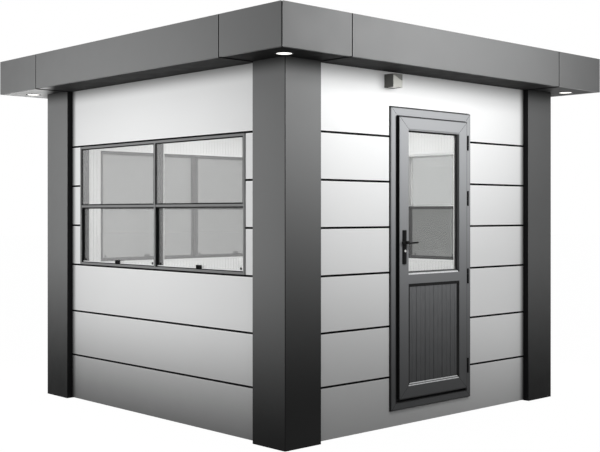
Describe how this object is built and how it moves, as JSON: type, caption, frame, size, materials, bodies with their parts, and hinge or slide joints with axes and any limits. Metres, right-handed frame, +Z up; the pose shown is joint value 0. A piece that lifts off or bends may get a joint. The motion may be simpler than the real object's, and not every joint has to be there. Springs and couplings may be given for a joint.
{
  "type": "security guard booth",
  "caption": "Square flat-roofed guard booth with clad corner posts, panelled walls, sliding windows on three sides and a glazed hinged door.",
  "frame": {"origin": "on the ground under the centre of the square plan", "axes": "+Z up, -Y out through the door wall, +X to the right seen from the door side"},
  "size_m": [3.5, 3.5, 2.754],
  "materials": {
    "white_panel": "satin powder coat",
    "inner_white": "matt coated lining",
    "anthracite": "satin powder coat",
    "door_grey": "satin foil",
    "black_trim": "satin",
    "seal": "matt",
    "glazing": "clear, solar coated",
    "steel": "brushed",
    "lamp_casing": "satin",
    "lens": "opal",
    "floor_sheet": "matt sheet",
    "roof_sheet": "matt membrane"
  },
  "bodies": {
    "booth": {"floor_deck": "floor_sheet", "front_left_post": "anthracite", "front_right_post": "anthracite", "back_left_post": "anthracite", "back_right_post": "anthracite", "front_wall_left": "inner_white", "front_wall_right": "inner_white", "front_wall_header": "inner_white", "front_wall_sill": "inner_white", "left_wall": "inner_white", "back_wall": "inner_white", "right_wall": "inner_white", "front_cladding": "white_panel", "left_cladding": "white_panel", "back_cladding": "white_panel", "right_cladding": "white_panel", "panel_joints": "seal", "left_window_frame": "anthracite", "back_window_frame": "anthracite", "right_window_frame": "anthracite", "left_window_sashes": "black_trim", "back_window_sashes": "black_trim", "right_window_sashes": "black_trim", "left_window_glass": "glazing", "back_window_glass": "glazing", "right_window_glass": "glazing", "window_latches": "black_trim", "window_trims": "inner_white", "door_frame": "door_grey", "frame_hinges": "black_trim", "front_fascia": "anthracite", "left_fascia": "anthracite", "back_fascia": "anthracite", "right_fascia": "anthracite", "soffit": "anthracite", "ceiling": "inner_white", "roof_deck": "roof_sheet", "downlight_rims": "steel", "lamp_lenses": "lens", "wall_lamp": "lamp_casing"},
    "door": {"door_leaf": "door_grey", "door_beads": "door_grey", "door_glass": "glazing", "door_panel": "door_grey", "leaf_hinges": "black_trim", "handle_plates": "black_trim", "lock_cylinder": "steel"},
    "lever": {"door_lever": "black_trim"}
  },
  "joints": [
    {"name": "door_swing", "type": "hinge", "parent": "booth", "child": "door", "pos_m": [0.38925, -1.459, 1.184], "axis": [0, 0, 1], "range_deg": [0, 100]},
    {"name": "lever_turn", "type": "hinge", "parent": "door", "child": "lever", "pos_m": [-0.328, -1.4315, 1.291], "axis": [0, 1, 0], "range_deg": [0, 40], "stiffness_Nm_per_rad": 1.5, "springref_deg": -45.84}
  ]
}
